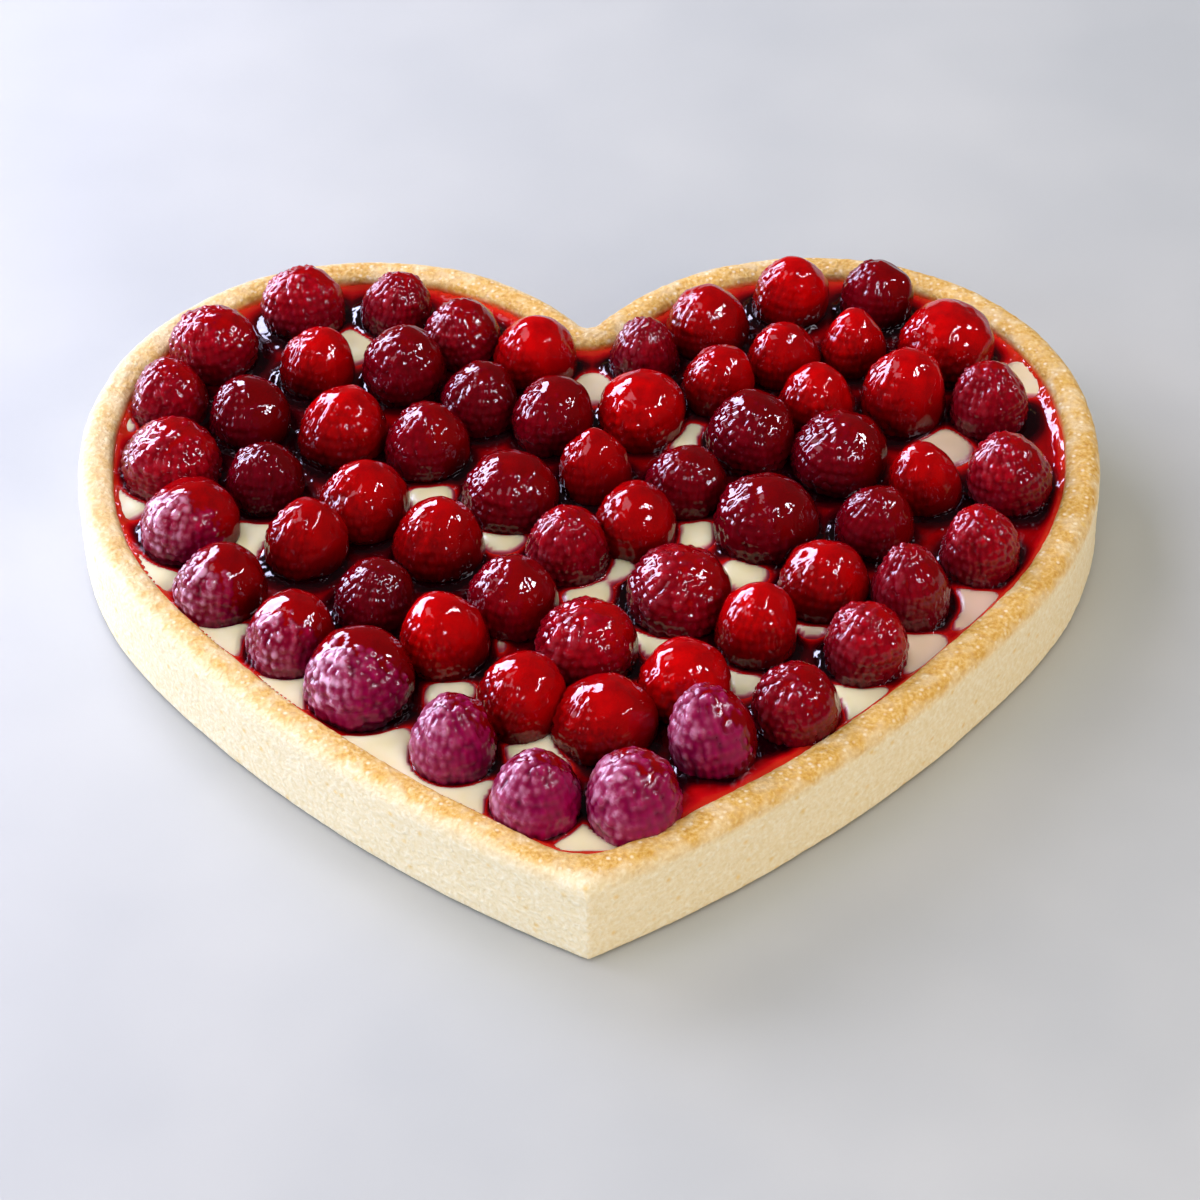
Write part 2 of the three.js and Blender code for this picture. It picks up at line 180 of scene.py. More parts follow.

# How the glaze lies on a kind of berry: how full it stands over the creases, how far it sits towards
# the far side, voxel size and smoothing of the surface, how wet the drupelets outside it are, their
# bloom with its painted sheen, and the range of tones from dark to bright
GLAZE_KINDS = {
    "bare": dict(fill=-0.1, shift=0.7, voxel=0.36, smooth=10, wet=0.05, bloom=0.52, tones=(0.4, 0.6)),
    "frosted": dict(fill=0.6, shift=1.5, voxel=0.385, smooth=3, wet=0.25, bloom=1.0, tones=(0.4, 0.6)),
    "half": dict(fill=0.8, shift=1.5, voxel=0.405, smooth=2, wet=0.6, bloom=0.75, tones=(0.45, 0.65)),
    "bumpy": dict(fill=0.15, shift=0.6, voxel=0.385, smooth=1, wet=0.92, bloom=0.04, tones=(0.5, 0.8)),
    "dark": dict(fill=0.5, shift=0.9, voxel=0.405, smooth=1, wet=0.95, bloom=0.0, tones=(0.22, 0.45)),
    "bright": dict(fill=0.88, shift=1.0, voxel=0.43, smooth=2, wet=1.0, bloom=0.0, tones=(0.66, 0.95)),
}
# The bloom is painted brighter on the side facing the light from the far left, as a painted sheen
PAINTED_SHEEN_SIDE = (-0.88, -0.18, 0.44)
BARE_BERRIES = ("berry_12", "berry_pair_1_left", "berry_pair_1_right", "berry_pair_2_left")
FROSTED_BERRIES = ("berry_01",)
HALF_GLAZED_BERRIES = ("berry_02", "berry_03", "berry_04")
BUMPY_BERRIES = (
    "berry_05", "berry_06", "berry_07", "berry_08", "berry_09", "berry_10", "berry_13", "berry_14",
    "berry_15", "berry_16", "berry_17", "berry_18", "berry_23", "berry_46", "berry_47", "berry_52",
)
DARK_BERRIES = (
    "berry_24", "berry_25", "berry_26", "berry_28", "berry_29", "berry_30", "berry_35", "berry_44",
    "berry_45", "berry_48", "berry_49", "berry_51", "berry_pair_3_right", "berry_pair_5_right", "berry_20",
)


def only(piece):
    """Selects one piece and nothing else."""
    bpy.ops.object.select_all(action="DESELECT")
    piece.select_set(True)
    bpy.context.view_layer.objects.active = piece


@contextmanager
def editing(piece):
    only(piece)
    bpy.ops.object.mode_set(mode="EDIT")
    bpy.ops.mesh.select_mode(type="FACE")
    yield
    bpy.ops.object.mode_set(mode="OBJECT")


def select_faces(piece, wanted):
    """Selects the faces, in edit mode, whose middle and normal are wanted."""
    mesh = bmesh.from_edit_mesh(piece.data)
    for face in mesh.faces:
        face.select_set(wanted(face.calc_center_median(), face.normal))
    mesh.select_flush_mode()
    bmesh.update_edit_mesh(piece.data)


def modify(piece, kind, **settings):
    """Gives the piece a modifier and applies it."""
    only(piece)
    modifier = piece.modifiers.new(kind.title(), kind)
    for name, value in settings.items():
        setattr(modifier, name, value)
    bpy.ops.object.modifier_apply(modifier=modifier.name)


def join(pieces):
    """Makes one piece of several; the first keeps its name."""
    only(pieces[0])
    for piece in pieces[1:]:
        piece.select_set(True)
    bpy.ops.object.join()
    return pieces[0]


def copied(mesh, name):
    piece = bpy.data.objects.new(name, mesh.copy())
    bpy.context.scene.collection.objects.link(piece)
    return piece


def node_copy(node, name):
    """A merged copy of a frame node's mesh."""
    piece = copied(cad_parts[node].data, name)
    piece.data.materials.clear()
    with editing(piece):
        bpy.ops.mesh.select_all(action="SELECT")
        bpy.ops.mesh.remove_doubles(threshold=0.01 * MM)
    return piece


def removed(piece):
    bpy.data.objects.remove(piece)


def placed(piece):
    """Takes the piece's place, turn and size into its mesh."""
    only(piece)
    bpy.ops.object.transform_apply(location=True, rotation=True, scale=True)


def corners(piece):
    """The vertices' places in millimetres, one row each."""
    places = np.empty(len(piece.data.vertices) * 3)
    piece.data.vertices.foreach_get("co", places)
    return places.reshape(-1, 3) / MM


def keep_value(piece, name, values):
    """Stores a number for each vertex, for the material to read."""
    layer = piece.data.attributes.new(name, "FLOAT", "POINT")
    layer.data.foreach_set("value", np.asarray(values, np.float32))


def weigh(piece, name, weights):
    group = piece.vertex_groups.new(name=name)
    for index, weight in enumerate(weights.tolist()):
        group.add((index,), weight, "REPLACE")


def clouds(name, size):
    """Soft lumps of a size in millimetres."""
    texture = bpy.data.textures.new(name, "CLOUDS")
    texture.noise_scale = size * MM
    texture.noise_depth = 2
    return texture


def ease(value, start, end):
    """0 before start, 1 after end, and a smooth rise between them."""
    share = np.clip((value - start) / (end - start), 0, 1)
    return share * share * (3 - 2 * share)


# Materials

def colour(code):
    """Linear colour of an sRGB hex value."""
    channels = [int(code[i:i + 2], 16) / 255 for i in (1, 3, 5)]
    return tuple(c / 12.92 if c <= 0.04045 else ((c + 0.055) / 1.055) ** 2.4 for c in channels) + (1,)


def add_node(material, kind, settings=None, links=None):
    """Adds a shader node; a link is another node's socket, or a plain value for the input."""
    node = material.node_tree.nodes.new("ShaderNode" + kind)
    for name, value in (settings or {}).items():
        if name == "stops":
            for stop, (position, code) in zip(node.color_ramp.elements, value):
                stop.position = position
                stop.color = colour(code)
            for position, code in value[2:]:
                node.color_ramp.elements.new(position).color = colour(code)
        else:
            setattr(node, name, value)
    for name, value in (links or {}).items():
        if isinstance(value, bpy.types.NodeSocket):
            material.node_tree.links.new(value, node.inputs[name])
        else:
            node.inputs[name].default_value = value
    return node


# Sockets of a colour Mix node
MIX_FACTOR, MIX_A, MIX_B, MIX_RESULT = 0, 6, 7, 2


def new_material(name):
    material = bpy.data.materials.new(name)
    material.use_nodes = True
    return material, material.node_tree.nodes["Principled BSDF"]


def set_sockets(material, shader, values):
    for name, value in values.items():
        if isinstance(value, bpy.types.NodeSocket):
            material.node_tree.links.new(value, shader.inputs[name])
        else:
            shader.inputs[name].default_value = value


def per_metre(size):
    """Texture scale that gives features of a size in millimetres."""
    return 1 / (size * MM)


def baked_shortcrust():
    """Butter shortcrust: matt and sandy, ivory where the tin covered it, golden along the rim."""
    material, shader = new_material("baked_shortcrust")
    place = add_node(material, "TexCoord").outputs["Object"]
    toast = add_node(material, "Attribute", {"attribute_name": "toast"}).outputs["Fac"]
    stain = add_node(material, "Attribute", {"attribute_name": "stain"}).outputs["Fac"]
    # Grains of flour and ground almond under a millimetre, and patches that browned unevenly
    grain = add_node(material, "TexNoise", None, {"Vector": place, "Scale": per_metre(1.0), "Detail": 4.0})
    patch = add_node(material, "TexNoise", None, {"Vector": place, "Scale": per_metre(4), "Detail": 5.0})
    speck = add_node(material, "TexVoronoi", None, {"Vector": place, "Scale": per_metre(4.5)})
    pale = add_node(material, "ValToRGB", {
        "stops": [(0.3, "#ECDDB4"), (0.5, "#F2E6C6"), (0.7, "#F8F1DA")],
    }, {"Fac": grain.outputs["Fac"]})
    golden = add_node(material, "ValToRGB", {
        "stops": [(0.32, "#CC9638"), (0.5, "#DDB25A"), (0.7, "#ECD094")],
    }, {"Fac": grain.outputs["Fac"]})
    spread = add_node(material, "MapRange", None, {
        "Value": patch.outputs["Fac"], "From Min": 0.35, "From Max": 0.62, "To Min": 0.55, "To Max": 1.35,
    })
    browned = add_node(material, "Math", {"operation": "MULTIPLY", "use_clamp": True},
                       {0: toast, 1: spread.outputs["Result"]})
    body = add_node(material, "Mix", {"data_type": "RGBA"}, {
        MIX_FACTOR: browned.outputs[0], MIX_A: pale.outputs["Color"], MIX_B: golden.outputs["Color"],
    })
    fleck = add_node(material, "MapRange", None, {
        "Value": speck.outputs["Distance"], "From Min": 0.2, "From Max": 0.06, "To Min": 0.0, "To Max": 0.6,
    })
    flecked = add_node(material, "Mix", {"data_type": "RGBA"}, {
        MIX_FACTOR: fleck.outputs["Result"], MIX_A: body.outputs[MIX_RESULT], MIX_B: colour("#E6C162"),
    })
    # Grains of sugar that caught in the golden band
    sugar = add_node(material, "TexVoronoi", None, {"Vector": place, "Scale": per_metre(1.9)})
    grains = add_node(material, "MapRange", None, {
        "Value": sugar.outputs["Distance"], "From Min": 0.3, "From Max": 0.1, "To Min": 0.0, "To Max": 0.75,
    })
    on_gold = add_node(material, "Math", {"operation": "MULTIPLY"}, {0: grains.outputs["Result"], 1: toast})
    sugared = add_node(material, "Mix", {"data_type": "RGBA"}, {
        MIX_FACTOR: on_gold.outputs[0], MIX_A: flecked.outputs[MIX_RESULT], MIX_B: colour("#FBF0D6"),
    })
    stained = add_node(material, "Mix", {"data_type": "RGBA"}, {
        MIX_FACTOR: stain, MIX_A: sugared.outputs[MIX_RESULT], MIX_B: colour("#EC6428"),
    })
    relief = add_node(material, "Bump", None, {
        "Strength": 1.0, "Distance": 0.45 * MM, "Height": grain.outputs["Fac"],
    })
    set_sockets(material, shader, {
        "Base Color": stained.outputs[MIX_RESULT], "Roughness": 0.75, "Specular IOR Level": 0.35,
        "Normal": relief.outputs["Normal"],
    })
    return material


def pastry_cream():
    """Set egg custard: smooth, satin, ivory, stained pink where the glaze runs thin over it."""
    material, shader = new_material("pastry_cream")
    place = add_node(material, "TexCoord").outputs["Object"]
    stain = add_node(material, "Attribute", {"attribute_name": "stain"}).outputs["Fac"]
    drift = add_node(material, "TexNoise", None, {"Vector": place, "Scale": per_metre(7), "Detail": 2.0})
    body = add_node(material, "ValToRGB", {"stops": [(0.3, "#F8F1C8"), (0.7, "#FDF9DE")]},
                    {"Fac": drift.outputs["Fac"]})
    film = add_node(material, "ValToRGB", {
        "stops": [(0.0, "#F0D2C0"), (0.3, "#E0A0A4"), (0.6, "#C03456"), (1.0, "#8A0620")],
    }, {"Fac": stain})
    veil = add_node(material, "MapRange", None, {
        "Value": stain, "From Min": 0.02, "From Max": 0.3, "To Min": 0.0, "To Max": 1.0,
    })
    stained = add_node(material, "Mix", {"data_type": "RGBA"}, {
        MIX_FACTOR: veil.outputs["Result"], MIX_A: body.outputs["Color"], MIX_B: film.outputs["Color"],
    })
    set_sockets(material, shader, {
        "Base Color": stained.outputs[MIX_RESULT], "Roughness": 0.32, "IOR": 1.45,
        "Subsurface Weight": 0.3, "Subsurface Radius": (1.0, 0.8, 0.5), "Subsurface Scale": 2 * MM,
    })
    return material


def berry_glaze():
    """Set redcurrant jelly: wet gloss, clear red where thin, nearly black where deep, with painted shade
    between the berries.
    """
    material, shader = new_material("berry_glaze")
    depth = add_node(material, "Attribute", {"attribute_name": "depth"}).outputs["Fac"]
    body = add_node(material, "ValToRGB", {
        "stops": [(0.0, "#E2341E"), (0.1, "#D40C14"), (0.3, "#960006"), (0.6, "#4A0008"), (1.0, "#180004")],
    }, {"Fac": depth})
    # The skin of set jelly is drawn into small ripples, so that it mirrors in broken glints
    place = add_node(material, "TexCoord").outputs["Object"]
    ripple = add_node(material, "TexNoise", None, {"Vector": place, "Scale": per_metre(3.6), "Detail": 1.0})
    relief = add_node(material, "Bump", None, {
        "Strength": 1.0, "Distance": 0.5 * MM, "Height": ripple.outputs["Fac"],
    })
    set_sockets(material, shader, {
        "Base Color": body.outputs["Color"], "Roughness": 0.08, "IOR": 1.4,
        "Subsurface Weight": 0.2, "Subsurface Radius": (1.0, 0.1, 0.1), "Subsurface Scale": 2 * MM,
        "Normal": relief.outputs["Normal"],
    })
    return material


def raspberry():
    """Raspberry skin: translucent red with a pale bloom where bare, and wet and clear where glazed; painted
    shade darkens its foot and creases, and a painted sheen brightens the bloom on the lit side.
    """
    material, shader = new_material("raspberry")
    place = add_node(material, "TexCoord").outputs["Object"]
    rise = add_node(material, "Attribute", {"attribute_name": "rise"}).outputs["Fac"]
    wet = add_node(material, "Attribute", {"attribute_name": "wet"}).outputs["Fac"]
    tone = add_node(material, "Attribute", {"attribute_name": "tone"}).outputs["Fac"]
    mottle = add_node(material, "TexNoise", None, {"Vector": place, "Scale": per_metre(4), "Detail": 3.0})
    dust = add_node(material, "TexNoise", None, {"Vector": place, "Scale": per_metre(2.0), "Detail": 4.0})
    # Painted shade: the bare skin is darker in the creases between the drupelets and lighter on their tops
    skin_and_crease_shade = add_node(material, "ValToRGB", {
        "stops": [(0.0, "#480022"), (0.5, "#7C003C"), (1.0, "#94024E")],
    }, {"Fac": rise})
    # The glazed colour follows the berry's random tone times its painted shade
    glazed = add_node(material, "ValToRGB", {
        "stops": [(0.0, "#240004"), (0.45, "#800104"), (1.0, "#C40103")],
    }, {"Fac": tone})
    shade = add_node(material, "MapRange", None, {
        "Value": mottle.outputs["Fac"], "From Min": 0.35, "From Max": 0.65, "To Min": 0.0, "To Max": 0.4,
    })
    deep = add_node(material, "Mix", {"data_type": "RGBA"}, {
        MIX_FACTOR: shade.outputs["Result"], MIX_A: glazed.outputs["Color"], MIX_B: colour("#5A0108"),
    })
    body = add_node(material, "Mix", {"data_type": "RGBA"}, {
        MIX_FACTOR: wet, MIX_A: skin_and_crease_shade.outputs["Color"], MIX_B: deep.outputs[MIX_RESULT],
    })
    # Pale bloom on the drupelets' tops, brightened as a painted sheen on the side the far-left light reaches
    frost_and_sheen = add_node(material, "Attribute", {"attribute_name": "bloom"}).outputs["Fac"]
    patchy = add_node(material, "MapRange", None, {
        "Value": dust.outputs["Fac"], "From Min": 0.42, "From Max": 0.58, "To Min": 0.12, "To Max": 1.0,
    })
    bloom = add_node(material, "Math", {"operation": "MULTIPLY", "use_clamp": True},
                     {0: frost_and_sheen, 1: patchy.outputs["Result"]})
    dust_and_sheen = add_node(material, "Mix", {"data_type": "RGBA"}, {
        MIX_FACTOR: bloom.outputs[0], MIX_A: body.outputs[MIX_RESULT], MIX_B: colour("#E0B2D6"),
    })
    matt = add_node(material, "Attribute", {"attribute_name": "matt"}).outputs["Fac"]
    # Ripples in the set glaze and fine wrinkles break up the highlights
    ripple = add_node(material, "TexNoise", None, {"Vector": place, "Scale": per_metre(1.6), "Detail": 2.0})
    relief = add_node(material, "Bump", None, {
        "Strength": 0.6, "Distance": 0.12 * MM, "Height": ripple.outputs["Fac"],
    })
    set_sockets(material, shader, {
        "Base Color": dust_and_sheen.outputs[MIX_RESULT], "Roughness": matt, "IOR": 1.4,
        "Subsurface Weight": 0.2, "Subsurface Radius": (1.0, 0.12, 0.1), "Subsurface Scale": 2.5 * MM,
        "Normal": relief.outputs["Normal"],
    })
    return material


def tabletop():
    """Painted board: pale grey, faintly uneven, so that the tart's shadow reads softly."""
    material, shader = new_material("painted_board")
    place = add_node(material, "TexCoord").outputs["Object"]
    drift = add_node(material, "TexNoise", None, {"Vector": place, "Scale": per_metre(60), "Detail": 2.0})
    body = add_node(material, "ValToRGB", {"stops": [(0.3, "#B0B6BA"), (0.7, "#BABFC2")]},
                    {"Fac": drift.outputs["Fac"]})
    set_sockets(material, shader, {"Base Color": body.outputs["Color"], "Roughness": 0.6})
    return material


# The berries' places

def two_halves(points):
    """Parts a pair's points about its two farthest ones, the left one first."""
    spans = np.linalg.norm(points[:, None, :2] - points[None, :, :2], axis=2)
    first, second = np.unravel_index(spans.argmax(), spans.shape)
    if points[first, 0] > points[second, 0]:
        first, second = second, first
    is_left = spans[:, first] < spans[:, second]
    return points[is_left], points[~is_left]


def read_berries():
    """Middle, radius, foot and crown of each berry, in millimetres, from its node."""
    berries = []
    for node in sorted(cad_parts):
        if not node.startswith("berry"):
            continue
        points = corners(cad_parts[node])
        is_pair = "pair" in node
        parts = zip(two_halves(points), ("_left", "_right")) if is_pair else [(points, "")]
        for part, side in parts:
            low, high = part.min(axis=0), part.max(axis=0)
            berries.append({
                "node": node,
                "name": node + side,
                "x": (low[0] + high[0]) / 2,
                "y": (low[1] + high[1]) / 2,
                "radius": max(high[0] - low[0], high[1] - low[1]) / 2,
                "size": high - low,
                "foot": low[2],
                "crown": high[2],
            })
    return berries


BERRIES = read_berries()


def lattice():
    """Columns, rows and places of a grid a step apart over the case, in millimetres."""
    low, high = (Vector(corner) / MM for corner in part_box("pastry_case"))
    xs = np.arange(math.floor(low.x) - LATTICE_MARGIN, high.x + LATTICE_MARGIN, LATTICE_STEP)
    ys = np.arange(math.floor(low.y) - LATTICE_MARGIN, high.y + LATTICE_MARGIN, LATTICE_STEP)
    return xs, ys, np.stack(np.meshgrid(xs, ys), axis=-1)


XS, YS, PLACES = lattice()


def read_field(field, places):
    """The value of a field of the lattice at any places."""
    across = np.clip((places[:, 0] - XS[0]) / LATTICE_STEP, 0, len(XS) - 1.001)
    along = np.clip((places[:, 1] - YS[0]) / LATTICE_STEP, 0, len(YS) - 1.001)
    column, row = across.astype(int), along.astype(int)
    u, v = across - column, along - row
    near = field[row, column] * (1 - u) + field[row, column + 1] * u
    far = field[row + 1, column] * (1 - u) + field[row + 1, column + 1] * u
    return near * (1 - v) + far * v


def outline_distance(outline, places):
    """Distance in plan from each place to a closed outline."""
    nearest = np.full(len(places), 1e3)
    for start, end in zip(outline, np.roll(outline, -1, axis=0)):
        edge = end - start
        share = np.clip(((places - start) @ edge) / (edge @ edge), 0, 1)
        nearest = np.minimum(nearest, np.linalg.norm(places - start - share[:, None] * edge, axis=1))
    return nearest


def distance_to(x, y):
    return np.hypot(PLACES[..., 0] - x, PLACES[..., 1] - y)


def clearance_field():
    """Distance in plan to the nearest berry's widest ring, less than 0 under a berry."""
    nearest = np.full(PLACES.shape[:2], 1e3)
    for berry in BERRIES:
        nearest = np.minimum(nearest, distance_to(berry["x"], berry["y"]) - berry["radius"])
    return nearest


def softened(field, times):
    for _ in range(times):
        field = sum(np.roll(field, (i, j), (0, 1)) for i in (-1, 0, 1) for j in (-1, 0, 1)) / 9
    return field


def slow_wave():
    """A gentle unevenness between -1 and 1, some 25 mm from crest to crest."""
    x, y = PLACES[..., 0], PLACES[..., 1]
    waves = np.sin(x / 3.7 + 1.3) + np.sin(y / 4.3 + 0.4) + np.sin((x + y) / 6.1) + np.sin((x - y) / 5.3)
    return waves / 4


def mound_fields():
    """How far the cream wells up at each place, from 0 to 1, and how pink it is there."""
    swell, pink = np.zeros(PLACES.shape[:2]), np.zeros(PLACES.shape[:2])
    for x, y, radius, stain in CREAM_MOUNDS:
        near = ease(distance_to(x, y), radius * MOUND_EDGE[0], radius * MOUND_EDGE[1])
        swell = np.maximum(swell, near)
        pink = np.maximum(pink, near * stain)
    return swell, pink


def cream_field(clear, swell):
    """Height of the cream: it wells up in its mounds and sinks under the berries."""
    top = CREAM_VALLEY + (CREAM_MOUND - CREAM_VALLEY) * swell
    sunk = ease(clear, *CREAM_SINKS)
    return softened(top + CREAM_WAVE * slow_wave() - (top - CREAM_HOLLOW) * sunk, 1)


def glaze_field(clear, wall):
    """Height of the glaze: level, a little up the berries and the wall, deeper in its pools."""
    level = np.full(clear.shape, float(GLAZE_LEVEL))
    for x, y, radius, change in GLAZE_POOLS:
        level += change * ease(distance_to(x, y), radius, radius * POOL_CORE)
    by_berries = GLAZE_CLIMB * np.exp(-np.maximum(clear, 0) / GLAZE_CLIMB_WIDTH)
    climb = np.maximum(by_berries, WALL_CLIMB * np.exp(-wall / WALL_CLIMB_WIDTH))
    return np.minimum(level + climb, GLAZE_MOST)


def shade_field(clear, wall):
    """Painted shade on the glaze, as a share of its depth's darkness: most between berries, less by the
    wall, least in the pools painted as lit.
    """
    shade = OPEN_SHADE + MORE_BY_BERRY * ease(clear, BERRY_SHADE, 0)
    for x, y, radius in LIT_POOLS:
        shade *= 1 - LIT_POOL_SHARE * ease(distance_to(x, y), radius, radius * LIT_POOL_CORE)
    return shade * ease(wall, *UNSHADED_BY_WALL)


# The pieces

def make_crust(material, inner_outline):
    """The baked case: its solid made finer, with a swell, a crumb and the marks of the oven."""
    crust = node_copy("pastry_case", "shortcrust_case")
    with editing(crust):
        select_faces(crust, lambda middle, normal: abs(normal.z) > 0.999 and middle.z < 1 * MM)
        bpy.ops.mesh.dissolve_faces()
        select_faces(crust, lambda middle, normal: normal.z > 0.999 and 3 * MM < middle.z < 5 * MM)
        bpy.ops.mesh.dissolve_faces()
        bpy.ops.mesh.select_all(action="SELECT")
        bpy.ops.mesh.tris_convert_to_quads(face_threshold=math.radians(60), shape_threshold=math.radians(80))
        for height in WALL_CUTS:
            bpy.ops.mesh.select_all(action="SELECT")
            bpy.ops.mesh.bisect(plane_co=(0, 0, height * MM), plane_no=(0, 0, 1))
    modify(crust, "SUBSURF", levels=3, render_levels=3)
    places = corners(crust)
    tip = places[places[:, 1].argmin()]
    from_tip = np.hypot(places[:, 0] - tip[0], places[:, 1] - tip[1])
    near_tip = ease(from_tip, TIP_ROUNDING[1], TIP_ROUNDING[0])
    weigh(crust, "tip", near_tip * ease(places[:, 2], *TIP_HEIGHTS))
    modify(crust, "SMOOTH", factor=0.5, iterations=TIP_ROUNDS, vertex_group="tip")
    places = corners(crust)
    inset = outline_distance(inner_outline, places[:, :2])
    weigh(crust, "shown", ease(places[:, 2], *CRUMB_HEIGHTS))
    for name, size, strength in (("crust_swell", CRUST_SWELL_SIZE, CRUST_SWELL),
                                 ("crust_crumb", CRUST_CRUMB_SIZE, CRUST_CRUMB)):
        modify(crust, "DISPLACE", texture=clouds(name, size), texture_coords="LOCAL",
               strength=strength * MM, mid_level=0.5, vertex_group="shown")
    crust.vertex_groups.clear()
    across, height = places[:, 0], places[:, 2]
    on_rim = ease(height, *TOASTED_HEIGHTS)
    from_inside = inset - TOASTED_MORE_RIGHT * ease(across, *WIDENS_BETWEEN)
    strength = TOASTED_LEFT + (1 - TOASTED_LEFT) * ease(across, *LEFT_END)
    band = strength * on_rim * ease(from_inside, TOASTED_WIDTHS[1], TOASTED_WIDTHS[0])
    foot = TOASTED_FOOT * ease(height, *FOOT_HEIGHTS) * ease(across, *FOOT_BETWEEN)
    keep_value(crust, "toast", np.maximum(band, foot))
    keep_value(crust, "stain", ease(height, *STAINED_HEIGHTS) * ease(inset, *STAINED_WIDTHS))
    finish(crust, material)
    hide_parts("pastry_case")


def heart_prism():
    """The room inside the case's wall, as an upright block, and its outline in plan."""
    prism = node_copy("pastry_cream", "heart_prism")
    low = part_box("pastry_cream")[0]
    with editing(prism):
        select_faces(prism, lambda middle, normal: not (normal.z < -0.999 and middle.z < low.z + 0.1 * MM))
        bpy.ops.mesh.delete(type="FACE")
        bpy.ops.mesh.select_all(action="SELECT")
        bpy.ops.mesh.dissolve_faces()
    outline = corners(prism)[list(prism.data.polygons[0].vertices), :2]
    with editing(prism):
        bpy.ops.mesh.select_all(action="SELECT")
        bpy.ops.mesh.extrude_region_move(TRANSFORM_OT_translate={"value": (0, 0, 25 * MM - low.z)})
        bpy.ops.mesh.select_all(action="SELECT")
        bpy.ops.mesh.normals_make_consistent(inside=False)
        bpy.ops.transform.shrink_fatten(value=INTO_WALL * MM, use_even_offset=True)
    return prism, outline


def make_level(name, field, low, prism):
    """What fills the heart from a height up to the field's height at each place."""
    bpy.ops.object.select_all(action="DESELECT")
    bpy.ops.mesh.primitive_grid_add(x_subdivisions=len(XS) - 1, y_subdivisions=len(YS) - 1, size=1)
    slab = bpy.context.object
    slab.name = name
    slab.scale = ((XS[-1] - XS[0]) * MM, (YS[-1] - YS[0]) * MM, 1)
    slab.location = ((XS[-1] + XS[0]) / 2 * MM, (YS[-1] + YS[0]) / 2 * MM, low * MM)
    placed(slab)
    heights = read_field(field, corners(slab)) - low
    weigh(slab, "level", heights / heights.max())
    modify(slab, "DISPLACE", direction="Z", strength=heights.max() * MM, mid_level=0, vertex_group="level")
    slab.vertex_groups.clear()
    with editing(slab):
        bpy.ops.mesh.select_all(action="SELECT")
        bpy.ops.mesh.extrude_region_move(TRANSFORM_OT_translate={"value": (0, 0, -30 * MM)})
        bpy.ops.mesh.select_all(action="SELECT")
        bpy.ops.mesh.normals_make_consistent(inside=False)
        bpy.ops.mesh.bisect(plane_co=(0, 0, low * MM), plane_no=(0, 0, 1), clear_inner=True, use_fill=True)
    modify(slab, "BOOLEAN", operation="INTERSECT", object=prism, solver="MANIFOLD")
    return slab


def make_cream(material, cream_height, glaze_level, pink, prism):
    """The cream, stained where the glaze is thin over it and where juice ran into a mound."""
    cream = make_level("cream_filling", cream_height, FILLING_LOW, prism)
    places = corners(cream)
    above_glaze = places[:, 2] - read_field(glaze_level, places)
    keep_value(cream, "stain", np.maximum(ease(above_glaze, *CREAM_STAINED), read_field(pink, places)))
    finish(cream, material, smooth_angle=50)
    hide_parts("pastry_cream")
    return cream


def make_glaze(material, cream_height, glaze_height, shade, prism, cream):
    """The glaze that stands on the cream, up to its own level."""
    glaze = make_level("glaze_pools", glaze_height, FILLING_LOW + 1, prism)
    modify(glaze, "BOOLEAN", operation="DIFFERENCE", object=cream, solver="MANIFOLD")
    places = corners(glaze)
    # The glaze's colour is its depth over the cream times the painted shade
    depth = (places[:, 2] - read_field(cream_height, places)) / GLAZE_DARK_DEPTH
    keep_value(glaze, "depth", np.clip(depth * read_field(shade, places), 0, 1))
    finish(glaze, material, smooth_angle=50)


def finish(piece, material, smooth_angle=180):
    """Smooths the piece, gives it its material and says that it rides on the tart."""
    only(piece)
    bpy.ops.object.shade_smooth_by_angle(angle=math.radians(smooth_angle))
    piece.data.materials.clear()
    piece.data.materials.append(material)
    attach(piece, "root")


def berry_width_share(share):
    """Width of a berry at a share of its height, as a share of the widest."""
    if share < WAIST:
        return 1 - (1 - OPEN_END) * ((WAIST - share) / WAIST) ** 2
    return math.sqrt(max(0, 1 - ((share - WAIST) / (1 - WAIST)) ** 2))


def berry_profile():
    """Points of the berry's side from the crown down, as radius and height in millimetres."""
    shares = [1 - i / PROFILE_STEPS for i in range(PROFILE_STEPS + 1)]
    return [(BERRY_RADIUS * berry_width_share(share), BERRY_HEIGHT * share) for share in shares]


def row_places():
    """Where the rows of drupelets lie on the profile: radius, height and outward slope."""
    profile = berry_profile()
    rows = []
    travelled = DRUPELET_LENGTH * (ROW_STEP - FIRST_ROW)
    for (r0, z0), (r1, z1) in zip(profile, profile[1:]):
        travelled += math.hypot(r1 - r0, z1 - z0)
        if travelled >= DRUPELET_LENGTH * ROW_STEP and z1 > BERRY_HEIGHT * LOWEST_ROW:
            rows.append((r1, z1, math.atan2(r1 - r0, z0 - z1)))
            travelled = 0
    return rows


def make_drupelet():
    """One drupelet: the outer two thirds of a small egg."""
    bpy.ops.object.select_all(action="DESELECT")
    bpy.ops.mesh.primitive_ico_sphere_add(subdivisions=2, radius=0.5)
    drupelet = bpy.context.object
    drupelet.name = "drupelet"
    with editing(drupelet):
        bpy.ops.mesh.select_all(action="SELECT")
        bpy.ops.mesh.bisect(plane_co=(0, 0, -0.18), plane_no=(0, 0, 1), clear_inner=True, use_fill=True)
    return drupelet


